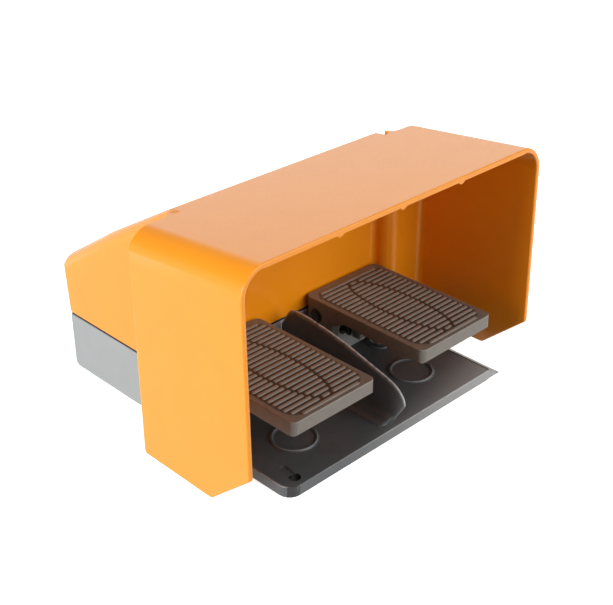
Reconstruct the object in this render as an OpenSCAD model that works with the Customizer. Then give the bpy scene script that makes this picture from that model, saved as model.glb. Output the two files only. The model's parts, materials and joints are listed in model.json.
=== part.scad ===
// Industrial foot switch: two hinged pedals under one deep guard hood.
// Millimetres, +Z up, operator side at -Y. The origin is on the floor, under the
// centre of the whole outline. Depths inside the modules are counted from the
// plane of the hood's front rim; from_front() carries them to the origin.

/* [Hood] */
// Outside width of the guard
hood_w = 290; // [280:1:300]
// Height of the front rim above the floor
hood_h = 185.4; // [176:0.2:190]
// Depth of the wide part
hood_d = 109.2; // [106:0.2:112]
// Wall thickness of the moulding
wall = 3.6; // [3:0.1:4]
// Fall of the top towards the rear, degrees
crown_fall = 6.11; // [4:0.01:8]
// Fall of the upper half of the sloping back, degrees
back_fall = 30.2; // [28:0.1:32]
// Fall of the lower half of the sloping back, degrees
low_fall = 33; // [32:0.1:36]
// Radius along the long top edges of the guard
hood_r = 20; // [12:1:24]

/* [Base] */
// Width of the base housing and of the base plate
base_w = 214.4; // [210:0.2:216]
// Depth from the front rim to the back of the housing
base_d = 246; // [240:1:250]
// Height of the housing's rim
rim_z = 45.8; // [44:0.2:47]
// Thickness of the base plate
plate_t = 9; // [8:0.5:10]
// Thickness of the dividing fin at its crest
fin_t = 2.8; // [2.4:0.2:4]

/* [Pedals] */
// Width of one tread
tread_w = 78; // [74:1:80]
// Distance between the treads
tread_gap = 49.2; // [46:0.2:52]
// Height of the tread's flat top
tread_z = 60.5; // [58:0.5:62]
// Depth of the pivot axis behind the front rim
pivot_y = 108; // [106:0.5:109]
// Height of the pivot axis
pivot_z = 46.5; // [45:0.5:48]
// Radius of the pivot pins
pin_r = 4; // [3.5:0.1:4.5]

/* [Switching] */
// Distance of the plungers from the middle plane
plunger_x = 49; // [48:0.5:51]
// Height of the plungers
plunger_z = 29.5; // [28:0.5:30]
// Radius of a plunger's stem
stem_r = 3.5; // [3:0.1:3.6]

/* [Hidden] */

$fn = 48;
eps = 0.01;                              // overrun of a cut past a face
orange = [0.95, 0.55, 0.12];
light_grey = [0.64, 0.66, 0.66];
charcoal = [0.22, 0.20, 0.19];
black = [0.12, 0.12, 0.12];
steel = [0.72, 0.73, 0.75];
brass = [0.80, 0.66, 0.35];
bronze = [0.30, 0.24, 0.18];
cream = [0.86, 0.84, 0.78];

fin_nose = 5.6;                          // the fin's reach in front of the rim plane
gland_reach = 18.4;                      // the gland's reach behind the housing
front_y = -(base_d + gland_reach - fin_nose) / 2;
tread_x0 = tread_gap / 2;
tread_x1 = tread_x0 + tread_w;
tread_mid = (tread_x0 + tread_x1) / 2;
seal_z = rim_z + 1.6;                    // lower rim of the hood over the housing
rear_half = base_w / 2;
part_y = 122;                            // front face of the housing and of the partition
step_y = hood_d - wall;                  // inside face of the step behind the wide part
crown_z = hood_h;                        // crown line at the rim plane
ridge_y = 119.5;                         // where the sloping back begins
ridge_z = crown_z - ridge_y * tan(crown_fall);
break_y = 190;                           // where its fall grows steeper
rear_lean = 4;                           // lean of the hood's rear wall
entry_x = 45;                            // cable entries, either side of the middle
entry_z = 23;
entry_r = 10;
pillar_x = 97.4;                         // pillars that carry the hood's screws
pillar_ys = [131.8, 236];
ear_t = 7.2;                             // thickness of a pedal's ears
block_x0 = tread_x0 + ear_t + 1.7;       // hinge block, between the ears
block_x1 = tread_x1 - ear_t - 1.7;
block_y = 100.5;                         // front face of the hinge blocks
block_r = pivot_y - block_y;
spring_x = 76;
spring_y = 88;
ring_x = 62.5;
ring_y = 42.5;
buffer_y = 38;
bend_r = 8;                              // outer radius of the hood's upright bends
fixing = [-93.6, 9.7];
fixing_r = 4.3;
rear_fixing = [80, 212];

// ---------- helpers ----------

// Carries what is drawn from the rim plane to the origin
module from_front() { translate([0, front_y, 0]) children(); }

// Draws for the right side, or mirrors it to the left
module on_side(side) { from_front() mirror([side == "left" ? 1 : 0, 0, 0]) children(); }

// Corner p of an outline, between a and b, rounded with radius r in n steps
function arc_corner(a, p, b, r, n) =
    let (u = (a - p) / norm(a - p), v = (b - p) / norm(b - p), half = acos(u * v) / 2,
        c = p + (u + v) / norm(u + v) * r / sin(half),
        s = p + u * r / tan(half) - c, e = p + v * r / tan(half) - c,
        from = atan2(s[1], s[0]), raw = atan2(e[1], e[0]) - from,
        turn = raw > 180 ? raw - 360 : raw < -180 ? raw + 360 : raw)
    [for (i = [0:n]) c + r * [cos(from + turn * i / n), sin(from + turn * i / n)]];

// Outline from corners [x, y, radius]
function rounded(path, n = 5) =
    [for (i = [0:len(path) - 1])
        let (k = len(path), p = path[i], a = path[(i + k - 1) % k], b = path[(i + 1) % k])
        each p[2] == 0 ? [[p[0], p[1]]]
            : arc_corner([a[0], a[1]], [p[0], p[1]], [b[0], b[1]], p[2], n)];

// Side outline (depth, height) carried across the width from x0 to x1
module across(x0, x1, outline) {
    translate([x0, 0, 0]) rotate([90, 0, 90]) linear_extrude(x1 - x0) polygon(outline);
}

// Round bar along X, Y
module bar_x(r, x0, x1, y, z) { translate([x0, y, z]) rotate([0, 90, 0]) cylinder(r = r, h = x1 - x0); }
module bar_y(r, y0, y1, x, z) { translate([x, y0, z]) rotate([-90, 0, 0]) cylinder(r = r, h = y1 - y0); }

// Box from corner to corner
module block(low, high) { translate(low) cube(high - low); }

// Box with rounded upright edges
module post_box(low, high, r) {
    translate([0, 0, low[2]]) linear_extrude(high[2] - low[2]) union() {
        translate([low[0] + r, low[1]]) square([high[0] - low[0] - 2 * r, high[1] - low[1]]);
        translate([low[0], low[1] + r]) square([high[0] - low[0], high[1] - low[1] - 2 * r]);
        for (x = [low[0] + r, high[0] - r], y = [low[1] + r, high[1] - r]) translate([x, y]) circle(r);
    }
}

// Upright corner post: the square from corner p towards q, less a circle of radius r round q
module corner_post(p, q, r, z0, z1) {
    translate([0, 0, z0]) linear_extrude(z1 - z0) difference() {
        translate([min(p[0], q[0]), min(p[1], q[1])]) square([abs(q[0] - p[0]), abs(q[1] - p[1])]);
        translate(q) circle(r);
    }
}

// Hexagon prism along Y, size across flats
module hex_y(flats, y0, y1, x, z) {
    translate([x, y0, z]) rotate([-90, 0, 0]) cylinder(d = flats / cos(30), h = y1 - y0, $fn = 6);
}

// Cross-section of a vaulted shell: flat top at height 0, edges of radius r
module vault(half, r) {
    translate([-half, -320]) square([2 * half, 320 - r]);
    translate([r - half, -320]) square([2 * (half - r), 320]);
    for (s = [-1, 1]) translate([s * (half - r), -r]) circle(r);
}

// That section carried along a line that falls towards the rear through (y, z)
module falling_vault(y, z, fall, half, r, inset) {
    translate([0, y, z]) rotate([-fall, 0, 0]) translate([0, 0, -inset])
        rotate([90, 0, 0]) linear_extrude(760, center = true) vault(half - inset, max(r - inset, 1));
}

// ---------- base plate and housing ----------

// Side outline of the fin between the pedals: an overhanging nose and a long rising crest
function fin_outline() = rounded([[3.5, plate_t, 0], [-fin_nose, 20, 4], [-fin_nose, 31, 5],
    [2.5, 41, 9], [40, 52.4, 60], [92, 61.3, 60], [109.5, 61.2, 3], [119.6, 44, 8], [120.5, plate_t, 0]], 6);

// Half of the fin's cross-section: a wide hollow footing under a slim, drafted blade
function fin_half(s) = [for (t = [72:-9:0])
    [s * (fin_t / 2 + 0.5 + foot_r * (1 - cos(t))), plate_t + foot_r * (1 - sin(t))]];
foot_r = 9;

module divider_fin() {
    right = fin_half(1);
    left = fin_half(-1);
    section = concat([[right[0][0], plate_t]], right, [[fin_t / 2, 70], [-fin_t / 2, 70]],
        [for (i = [len(left) - 1:-1:0]) left[i]], [[left[0][0], plate_t]]);
    color(charcoal) from_front() intersection() {
        across(-12, 12, fin_outline());
        translate([0, 130, 0]) rotate([90, 0, 0]) linear_extrude(160) polygon(section);
    }
}

module base_plate() {
    color(charcoal) from_front() difference() {
        union() {
            // plate, with a narrower tongue under the housing's hinge blocks
            linear_extrude(plate_t) polygon(rounded([[-rear_half + 0.2, 1, 10], [rear_half - 0.2, 1, 2],
                [rear_half - 0.2, 103.8, 0], [103.7, 103.8, 0], [103.7, 121.8, 2],
                [-103.7, 121.8, 2], [-103.7, 103.8, 0], [-rear_half + 0.2, 103.8, 0]]));
            // sloped right edge
            translate([0, 103.8, 0]) rotate([90, 0, 0]) linear_extrude(102.2)
                polygon([[rear_half - 1, 0], [121, 0], [120.4, 1], [rear_half - 1, plate_t]]);
            // landing rings for the pedal buffers
            for (s = [-1, 1]) translate([s * ring_x, ring_y, plate_t - eps]) difference() {
                cylinder(r1 = 17.6, r2 = 16.9, h = 1.4);
                translate([0, 0, -eps]) cylinder(r1 = 14.8, r2 = 15.5, h = 1.5);
            }
            // spring seats
            for (s = [-1, 1]) translate([s * spring_x, spring_y, plate_t - eps]) {
                cylinder(r = 9.5, h = 1);
                cylinder(r = 4.8, h = 5);
            }
        }
        // fixing hole, with the shallow slide-on slot behind it
        translate([fixing[0], fixing[1], -1]) cylinder(r = fixing_r, h = plate_t + 2);
        translate([fixing[0], fixing[1], plate_t - 1.2]) slot(12, 3, 8);
        // cored underside
        for (s = [-1, 1]) {
            post_box([min(s * 6, s * 88), 8, -1], [max(s * 6, s * 88), 48, 5], 4);
            post_box([min(s * 6, s * 99), 54, -1], [max(s * 6, s * 99), 96, 5], 4);
        }
        for (x = plate_screw_xs) translate([x, 111, -1]) {
            cylinder(r = 2.7, h = plate_t + 2);
            cylinder(r = 5, h = 5);
        }
    }
}

plate_screw_xs = [-84, -43, 43, 84];

// Blind slot, running back by length, with radius r and depth h
module slot(length, r, h) {
    linear_extrude(h) union() {
        circle(r);
        translate([1.6, length]) circle(r);
        polygon([[-r, 0], [r, 0], [r + 1.6, length], [1.6 - r, length]]);
    }
}

module base_housing() {
    color(light_grey) from_front() difference() {
        union() {
            // tub, its lower rear edge rounded
            intersection() {
                across(-rear_half, rear_half, rounded([[part_y, 0, 0], [base_d, 0, 7],
                    [base_d, rim_z, 0], [part_y, rim_z, 0]]));
                post_box([-rear_half, part_y - 20, -1], [rear_half, base_d, rim_z + 1], 3);
            }
            // side cheeks beside the pedals' ears
            for (s = [-1, 1]) block([min(s * 103.9, s * rear_half), 104, 0],
                [max(s * 103.9, s * rear_half), part_y + 1, rim_z]);
        }
        // inside of the tub, leaving the screw pillars standing
        difference() {
            post_box([-rear_half + wall, part_y + 4, 4], [rear_half - wall, base_d - wall, rim_z + 5], 4);
            for (s = [-1, 1], y = pillar_ys) translate([s * pillar_x, y, 0]) cylinder(r = 7, h = 60);
            for (s = [-1, 1]) translate([s * entry_x, base_d - wall - 2.4, entry_z]) rotate([-90, 0, 0])
                cylinder(r = 15, h = 10);
            for (s = [-1, 1]) translate([s * rear_fixing[0], rear_fixing[1], 0]) cylinder(r = 7, h = 9);
        }
        // cable entries
        for (s = [-1, 1]) bar_y(entry_r + 0.1, base_d - 10, base_d + 1, s * entry_x, entry_z);
        // holes for the hood's screws, counterbored below
        for (s = [-1, 1], y = pillar_ys) translate([s * pillar_x, y, -1]) {
            cylinder(r = 2.7, h = 60);
            cylinder(r = 5, h = 5);
        }
        // fixing holes in the floor
        for (s = [-1, 1]) translate([s * rear_fixing[0], rear_fixing[1], -1])
            cylinder(r = fixing_r, h = 12);
        // holes for the plungers' bushes and the contact blocks' screws
        for (s = [-1, 1]) {
            bar_y(6.02, part_y - 1, part_y + 5, s * plunger_x, plunger_z);
            for (x = block_screw_xs) bar_y(1.52, part_y - 1, part_y + 5, s * x, block_screw_z);
        }
        // earth screw
        translate([0, 200, 3 - eps]) cylinder(r = 2.02, h = 10);
    }
    color(light_grey) from_front() translate([0, 200, 4 - eps]) difference() {
        cylinder(r = 5, h = 5);
        translate([0, 0, -1]) cylinder(r = 2.02, h = 10);
    }
}

block_screw_xs = [plunger_x - 10.5, plunger_x + 10.5];
block_screw_z = plunger_z - 11;

// Block that carries the pivot pin between the ears of the right pedal
module bearing_block() {
    color(light_grey) difference() {
        union() {
            bar_x(block_r, block_x0, block_x1, pivot_y, pivot_z);
            block([block_x0, block_y, plate_t], [block_x1, part_y, pivot_z - 1]);
        }
        bar_x(pin_r + 0.02, block_x0 - 1, block_x1 + 1, pivot_y, pivot_z);
        bar_y(6.02, block_y - 1, part_y + 1, plunger_x, plunger_z);
        for (x = [plate_screw_xs[2], plate_screw_xs[3]]) translate([x, 111, plate_t - 1])
            cylinder(r = 2.52, h = 12);
        for (x = block_screw_xs) bar_y(1.52, part_y - 9, part_y + 1, x, block_screw_z);
    }
}

// ---------- hood ----------

// Side outline of the wide part
function guard_outline() = rounded([[0.2, 240, 0], [0, hood_h, 0], [-2.9, 39, 3], [36, 4.7, 6],
    [hood_d, 4.7, 5], [hood_d, 240, 0]]);

// Wide part, full or hollowed by an inset
module guard(inset) {
    intersection() {
        falling_vault(0, crown_z, crown_fall, hood_w / 2, hood_r, inset);
        if (inset == 0) across(-hood_w / 2, hood_w / 2, guard_outline());
        post_box([inset - hood_w / 2, -60, -20], [hood_w / 2 - inset, hood_d - inset, 250],
            inset == 0 ? 4 : 6);
    }
}

// Rear part over the housing, full or hollowed by an inset
module rear_form(inset) {
    intersection() {
        falling_vault(0, crown_z, crown_fall, rear_half, 10, inset);
        falling_vault(ridge_y, ridge_z, back_fall, rear_half, 10, inset);
        falling_vault(break_y, slope_z(break_y), low_fall, rear_half, 10, inset);
        translate([0, base_d, seal_z]) rotate([-rear_lean, 0, 0])
            post_box([inset - rear_half, -160, -30], [rear_half - inset, -inset, 160], 3);
        if (inset == 0) across(-rear_half, rear_half, rear_outline());
        else block([-rear_half, part_y + wall, seal_z - 20], [rear_half, base_d + 20, 200]);
    }
}

// Height of the sloping back at depth y
function slope_z(y) = ridge_z - (min(y, break_y) - ridge_y) * tan(back_fall)
    - max(y - break_y, 0) * tan(low_fall);

// Side outline of the rear part, a hair under the vaults, with the bends of the sloping back
function rear_outline() =
    let (top_y = base_d + 3.2)
    rounded([[hood_d - 6, seal_z, 0], [base_d, seal_z, 0], [top_y, slope_z(top_y) - 0.05, 16],
        [break_y, slope_z(break_y) - 0.05, 60], [ridge_y, ridge_z - 0.05, 10],
        [hood_d - 6, crown_z - (hood_d - 6) * tan(crown_fall) - 0.05, 0]]);

// Upright bends where the wide part steps in to the rear part, at (x, y)
module step_bends(x, y, r, inset) {
    intersection() {
        falling_vault(0, crown_z, crown_fall, hood_w / 2, hood_r, inset);
        for (s = [-1, 1]) corner_post([s * (x - eps), y - eps], [s * (x + r), y + r], r, seal_z, 240);
    }
}

module hood_cover() {
    color(orange) from_front() difference() {
        union() {
            difference() {
                union() {
                    guard(0);
                    rear_form(0);
                    step_bends(rear_half, hood_d, bend_r, 0);
                }
                guard(wall);
                // bay between the step and the partition, its mouth bent round to the step
                intersection() {
                    falling_vault(0, crown_z, crown_fall, rear_half, 10, wall);
                    post_box([wall - rear_half, 60, -20], [rear_half - wall, part_y, 240], 5);
                }
                step_bends(rear_half - wall, step_y, bend_r + wall, wall);
                rear_form(wall);
                // clearance round the housing below the seal
                block([-rear_half - 0.4, 90, -20], [rear_half + 0.4, base_d + 40, seal_z]);
            }
            // half-round pads under the front rim
            for (x = [-62, -4, 55]) intersection() {
                bar_y(3.6, 0.4, 5, x, hood_h - wall + 1.6);
                falling_vault(0, crown_z, crown_fall, hood_w / 2, hood_r, 1);
            }
            // bosses for the screws from below
            for (s = [-1, 1], y = pillar_ys) intersection() {
                translate([s * pillar_x, y, seal_z]) cylinder(r = 6.8, h = 24);
                rear_form(0);
            }
        }
        for (s = [-1, 1], y = pillar_ys) translate([s * pillar_x, y, seal_z - 1]) cylinder(r = 2.02, h = 19);
    }
}

module cover_gasket() {
    color(black) from_front() difference() {
        post_box([-rear_half + 0.8, part_y + 0.8, rim_z], [rear_half - 0.8, base_d - 0.8, seal_z], 2.5);
        difference() {
            post_box([-rear_half + 3.4, part_y + 3.4, rim_z - 1], [rear_half - 3.4, base_d - 3.4, seal_z + 1], 2);
            for (s = [-1, 1], y = pillar_ys) translate([s * pillar_x, y, 0]) cylinder(r = 7, h = 60);
        }
        for (s = [-1, 1], y = pillar_ys) translate([s * pillar_x, y, 0]) cylinder(r = 2.9, h = 60);
    }
}

// Pan-head screw, head down, with a cross slot
module screw_up(r, head_r, head_h, z0, z1) {
    difference() {
        union() {
            translate([0, 0, z0]) cylinder(r = head_r, h = head_h);
            translate([0, 0, z0]) cylinder(r = r, h = z1 - z0);
        }
        for (a = [0, 90]) translate([0, 0, z0 - 1]) rotate(a) translate([-head_r * 0.6, -0.5, 0])
            cube([head_r * 1.2, 1, 2]);
    }
}

module cover_screws() {
    color(steel) from_front() for (s = [-1, 1], y = pillar_ys) translate([s * pillar_x, y, 0])
        screw_up(2, 4, 2.6, 1.4, seal_z + 16);
}

module plate_screws() {
    color(steel) from_front() for (x = plate_screw_xs) translate([x, 111, 0])
        screw_up(2.5, 4.4, 2.8, 1.2, 19);
}

// ---------- cable entries ----------

module cable_gland() {
    color(black) from_front() difference() {
        union() {
            bar_y(entry_r, base_d - 12, base_d, -entry_x, entry_z);
            hex_y(24, base_d, base_d + 5, -entry_x, entry_z);
            bar_y(9, base_d + 5, base_d + 11.5, -entry_x, entry_z);
        }
        bar_y(7, base_d - 13, base_d + 13, -entry_x, entry_z);
    }
}

module gland_cap() {
    color(black) from_front() translate([-entry_x, base_d, entry_z]) rotate([-90, 0, 0]) difference() {
        rotate_extrude() polygon(rounded([[9, 6, 0], [12.4, 6, 1], [12.4, 13.5, 2], [10.5, gland_reach, 2],
            [5.5, gland_reach, 0.8], [5.5, 14.5, 0], [9, 12, 0]], 4));
        for (i = [0:11]) rotate(30 * i) translate([12.9, 0, 5.5]) cylinder(r = 1.2, h = 7, $fn = 16);
    }
}

module gland_seal() {
    color([0.2, 0.2, 0.2]) from_front() difference() {
        bar_y(6.9, base_d + 1, base_d + 12, -entry_x, entry_z);
        bar_y(4.5, base_d, base_d + 13, -entry_x, entry_z);
    }
}

module gland_locknut() {
    color(black) from_front() difference() {
        hex_y(26, base_d - 10.1, base_d - 6.1, -entry_x, entry_z);
        bar_y(entry_r, base_d - 12, base_d - 5, -entry_x, entry_z);
    }
}

module blanking_plug() {
    color(black) from_front() difference() {
        union() {
            bar_y(entry_r, base_d - 9, base_d + eps, entry_x, entry_z);
            translate([entry_x, base_d, entry_z]) rotate([-90, 0, 0])
                rotate_extrude() polygon(rounded([[0, 0, 0], [12.4, 0, 0], [12.4, 3.4, 1.2], [0, 3.8, 0]]));
        }
        block([entry_x - 8, base_d + 2, entry_z - 0.9], [entry_x + 8, base_d + 5, entry_z + 0.9]);
        bar_y(7.5, base_d - 10, base_d - 2, entry_x, entry_z);
    }
}

module earth_terminal() {
    color(brass) from_front() translate([0, 200, 0]) difference() {
        union() {
            translate([0, 0, 3.4]) cylinder(r = 2, h = 6);
            translate([0, 0, 9]) cylinder(r = 4.4, h = 0.8);
            translate([0, 0, 9.8]) cylinder(r = 3.8, h = 2.6);
        }
        translate([-5, -0.5, 11.2]) cube([10, 1, 3]);
    }
}

// ---------- pedals ----------

// Side outline of the skirt and the hinge ear
function skirt_outline() = rounded([[0.9, tread_z, 1.2], [0.9, 49.5, 1.5], [56, 49.5, 20],
    [78, 50.4, 8], [91, 44.5, 5], [91, 31, 4], [tread_rear - 3, 31, 7], [tread_rear - 3, 53, 2],
    [tread_rear, 54, 1.5], [tread_rear, tread_z, 1.2]]);
tread_rear = 120;
tread_t = 4;
rib_pitch = 5.04;
rib_n = 22;
rib_h = 1;
field_half = 34.5;

// Rib field on the tread: cross ribs, broken by a lens-shaped groove
module tread_ribs() {
    translate([tread_mid, 0, tread_z - eps]) linear_extrude(rib_h + eps) difference() {
        intersection() {
            polygon(rounded([[-field_half, 4.2, 14], [field_half, 4.2, 14], [field_half, 113.6, 9],
                [-field_half, 113.6, 9]], 6));
            for (i = [0:rib_n - 1]) translate([-field_half, 4.4 + i * rib_pitch]) square([2 * field_half, 2.7]);
        }
        intersection() {
            difference() {
                lens(16.7, 52);
                lens(14.4, 48.6);
            }
            translate([-20, 8]) square([40, 101]);
        }
    }
}

// Lens of half width a and half length b round the middle of the tread
module lens(a, b) { translate([0, 58.6]) polygon([for (t = [0:6:354]) [a * cos(t), b * sin(t)]]); }

// Tread casting, drawn for the right side
module pedal() {
    color(charcoal) difference() {
        union() {
            difference() {
                intersection() {
                    across(tread_x0, tread_x1, skirt_outline());
                    post_box([tread_x0, 0.9, 0], [tread_x1, tread_rear, 80], 5);
                }
                // hollow under the tread, wider in front of the ears
                block([tread_x0 + 3.2, 4.1, 0], [tread_x1 - 3.2, 86, tread_z - tread_t]);
                block([tread_x0 + ear_t, 80, 0], [tread_x1 - ear_t, tread_rear - 3.2, tread_z - tread_t]);
                block([tread_x0 + ear_t, 112, 0], [tread_x1 - ear_t, tread_rear + 1, 53.6]);
            }
            tread_ribs();
            pedal_underside();
        }
        bar_x(6.02, tread_x0 - 1, tread_x1 + 1, pivot_y, pivot_z);
        bar_y(2.02, 80, 92, plunger_x, plunger_z);
        translate([tread_mid, buffer_y, 0]) cylinder(r = 4.02, h = 44);
    }
}

// Stiffening ribs, buffer post, spring seat and striker lug
module pedal_underside() {
    top = tread_z - tread_t + eps;
    for (x = [tread_mid - 22, tread_mid + 22]) block([x - 1.2, 4, 51.5], [x + 1.2, 76, top]);
    for (y = [20, 56]) block([tread_x0 + 3, y - 1.2, 51.5], [tread_x1 - 3, y + 1.2, top]);
    translate([tread_mid, buffer_y, 36]) cylinder(r1 = 9, r2 = 11, h = top - 36);
    translate([spring_x, spring_y, top - 5]) cylinder(r = 4.8, h = 5);
    striker_lug(top);
}

// Slim lug that carries the striker screw, with a rounded lower end
module striker_lug(top) {
    bar_y(3.8, 83.2, 88.8, plunger_x, plunger_z);
    block([plunger_x - 3.8, 83.2, plunger_z], [plunger_x + 3.8, 88.8, top]);
    across(plunger_x - 1.2, plunger_x + 1.2, [[83.4, 38], [83.4, top], [66, top]]);
}

module pedal_bushes() {
    color(bronze) for (x = [[tread_x0, 1], [tread_x1, -1]]) difference() {
        union() {
            bar_x(6, min(x[0], x[0] + x[1] * ear_t), max(x[0], x[0] + x[1] * ear_t), pivot_y, pivot_z);
            bar_x(8, min(x[0] + x[1] * ear_t, x[0] + x[1] * (ear_t + 1.2)),
                max(x[0] + x[1] * ear_t, x[0] + x[1] * (ear_t + 1.2)), pivot_y, pivot_z);
        }
        bar_x(pin_r + 0.05, x[0] - 12, x[0] + 12, pivot_y, pivot_z);
    }
}

module pedal_buffer() {
    color(black) translate([tread_mid, buffer_y, 0]) {
        translate([0, 0, 30]) cylinder(r = 4, h = 13);
        translate([0, 0, 31.5]) cylinder(r = 8, h = 4.5);
        translate([0, 0, 31.5]) intersection() {
            sphere(8);
            translate([-10, -10, -10]) cube([20, 20, 10]);
        }
    }
}

// Striker screw with its dome on the plunger's side, and the lock nut
module actuator_screw() {
    color(steel) {
        bar_y(2, 82.4, 90.7, plunger_x, plunger_z);
        translate([plunger_x, 90.7, plunger_z]) sphere(2);
        difference() {
            bar_y(3.2, 81.2, 83.2, plunger_x, plunger_z);
            block([plunger_x - 4, 80, plunger_z - 0.5], [plunger_x + 4, 82.1, plunger_z + 0.5]);
        }
        hex_y(7, 88.8, 90.6, plunger_x, plunger_z);
    }
}

module pivot_pin() {
    color(steel) {
        bar_x(pin_r, tread_x0 - 0.5, tread_x1 + 0.5, pivot_y, pivot_z);
        for (x = [tread_x0 - 1, tread_x1 + 0.5 - eps]) bar_x(3.2, x, x + 0.5 + eps, pivot_y, pivot_z);
    }
}

// Coil swept round an axis: radius, wire radius, height, turns
function coil_ring(r, wire, a, z, sides) = [for (k = [0:sides - 1])
    let (w = 360 * k / sides, d = r + wire * cos(w)) [d * cos(a), d * sin(a), z + wire * sin(w)]];

module coil(r, wire, h, turns, sides = 8, steps = 20) {
    n = turns * steps;
    points = [for (i = [0:n]) each coil_ring(r, wire, 360 * i / steps, wire + (h - 2 * wire) * i / n, sides)];
    skin = [for (i = [0:n - 1], k = [0:sides - 1])
        let (a = i * sides + k, b = i * sides + (k + 1) % sides) each [[a, b, b + sides], [a, b + sides, a + sides]]];
    start = [for (k = [sides - 1:-1:0]) k];
    end = [for (k = [0:sides - 1]) n * sides + k];
    polyhedron(points, concat(skin, [start, end]));
}

module return_spring() {
    color(steel) translate([spring_x, spring_y, plate_t + 1.02])
        coil(6.6, 0.9, tread_z - tread_t - plate_t - 1.1, 7);
}

// ---------- switching ----------

rest_y = 93;                             // face of a plunger's head at rest
bridge_y = 140;                          // front face of the contact bridge at rest
bush_y = block_y + 0.4;                  // front face of the plunger's bush
bay_y0 = part_y + 4;                     // front of a contact block
bay_y1 = bay_y0 + 36;

module plunger() {
    color(black) {
        bar_y(stem_r, rest_y + 1, bridge_y + 10, plunger_x, plunger_z);
        translate([plunger_x, rest_y, plunger_z]) rotate([-90, 0, 0])
            rotate_extrude() polygon(rounded([[0, 0, 0], [4.5, 0, 1], [4.5, 3, 0.5], [0, 3, 0]]));
        bar_y(6, bridge_y + 2.6, bridge_y + 4.4, plunger_x, plunger_z);
    }
}

module contact_bridge() {
    color(brass) difference() {
        union() {
            block([plunger_x - 12, bridge_y + 0.6, plunger_z - 6], [plunger_x + 12, bridge_y + 2.6, plunger_z + 6]);
            for (s = [-9.5, 9.5]) bar_y(2.2, bridge_y, bridge_y + 3.2, plunger_x + s, plunger_z);
        }
        bar_y(stem_r + 0.02, bridge_y - 1, bridge_y + 5, plunger_x, plunger_z);
    }
}

module plunger_bush() {
    color(brass) difference() {
        bar_y(6, bush_y, part_y + 4, plunger_x, plunger_z);
        bar_y(stem_r + 0.05, block_y - 1, part_y + 6, plunger_x, plunger_z);
    }
}

module contact_block() {
    color(cream) difference() {
        post_box([plunger_x - 17, bay_y0, 10], [plunger_x + 17, bay_y1, 44], 1.5);
        block([plunger_x - 14, bay_y0 + 4, 12.5], [plunger_x + 14, bay_y1 - 3, 39]);
        bar_y(stem_r + 0.4, bay_y0 - 1, bay_y0 + 5, plunger_x, plunger_z);
        // slots that the fixed contacts stand in, and the open middle of the top
        for (y = contact_ys, s = [-9.5, 9.5])
            block([plunger_x + s - 3.02, y - 0.02, 38], [plunger_x + s + 3.02, y + 1.62, 45]);
        block([plunger_x - 4, bay_y0 + 7, 38], [plunger_x + 4, bay_y1 - 6, 45]);
        for (x = block_screw_xs) bar_y(1.7, bay_y0 - 1, bay_y0 + 5, x, block_screw_z);
    }
}

contact_ys = [bridge_y - 1.9, bridge_y + 7.4];

module fixed_contacts() {
    color(brass) for (s = [-9.5, 9.5], i = [0, 1]) {
        y = contact_ys[i];
        tab = i == 0 ? -8 : 1.6;
        block([plunger_x + s - 3, y, plunger_z - 4], [plunger_x + s + 3, y + 1.6, 45.6]);
        difference() {
            block([plunger_x + s - 3, y + tab, 44.02], [plunger_x + s + 3, y + tab + 8, 45.6]);
            translate([plunger_x + s, y + tab + 4, 40]) cylinder(r = 1.62, h = 10);
        }
    }
}

module terminal_screws() {
    color(steel) for (s = [-9.5, 9.5], i = [0, 1]) {
        y = contact_ys[i] + (i == 0 ? -4 : 5.6);
        translate([plunger_x + s, y, 0]) difference() {
            union() {
                translate([0, 0, 44.1]) cylinder(r = 1.6, h = 2);
                translate([0, 0, 45.6]) cylinder(r = 2.8, h = 1.8);
            }
            translate([-4, -0.4, 46.6]) cube([8, 0.8, 2]);
        }
    }
}

module block_screws() {
    color(steel) for (x = block_screw_xs) {
        bar_y(1.5, part_y - 8, bay_y0 + 4, x, block_screw_z);
        bar_y(2.6, bay_y0 + 4, bay_y0 + 6, x, block_screw_z);
    }
}

// ---------- the two sides ----------

module bearing_block_left() { on_side("left") bearing_block(); }
module bearing_block_right() { on_side("right") bearing_block(); }
module pedal_left() { on_side("left") pedal(); }
module pedal_bushes_left() { on_side("left") pedal_bushes(); }
module pedal_buffer_left() { on_side("left") pedal_buffer(); }
module actuator_screw_left() { on_side("left") actuator_screw(); }
module pivot_pin_left() { on_side("left") pivot_pin(); }
module return_spring_left() { on_side("left") return_spring(); }
module plunger_left() { on_side("left") plunger(); }
module contact_bridge_left() { on_side("left") contact_bridge(); }
module plunger_bush_left() { on_side("left") plunger_bush(); }
module contact_block_left() { on_side("left") contact_block(); }
module fixed_contacts_left() { on_side("left") fixed_contacts(); }
module terminal_screws_left() { on_side("left") terminal_screws(); }
module block_screws_left() { on_side("left") block_screws(); }
module pedal_right() { on_side("right") pedal(); }
module pedal_bushes_right() { on_side("right") pedal_bushes(); }
module pedal_buffer_right() { on_side("right") pedal_buffer(); }
module actuator_screw_right() { on_side("right") actuator_screw(); }
module pivot_pin_right() { on_side("right") pivot_pin(); }
module return_spring_right() { on_side("right") return_spring(); }
module plunger_right() { on_side("right") plunger(); }
module contact_bridge_right() { on_side("right") contact_bridge(); }
module plunger_bush_right() { on_side("right") plunger_bush(); }
module contact_block_right() { on_side("right") contact_block(); }
module fixed_contacts_right() { on_side("right") fixed_contacts(); }
module terminal_screws_right() { on_side("right") terminal_screws(); }
module block_screws_right() { on_side("right") block_screws(); }

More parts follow.
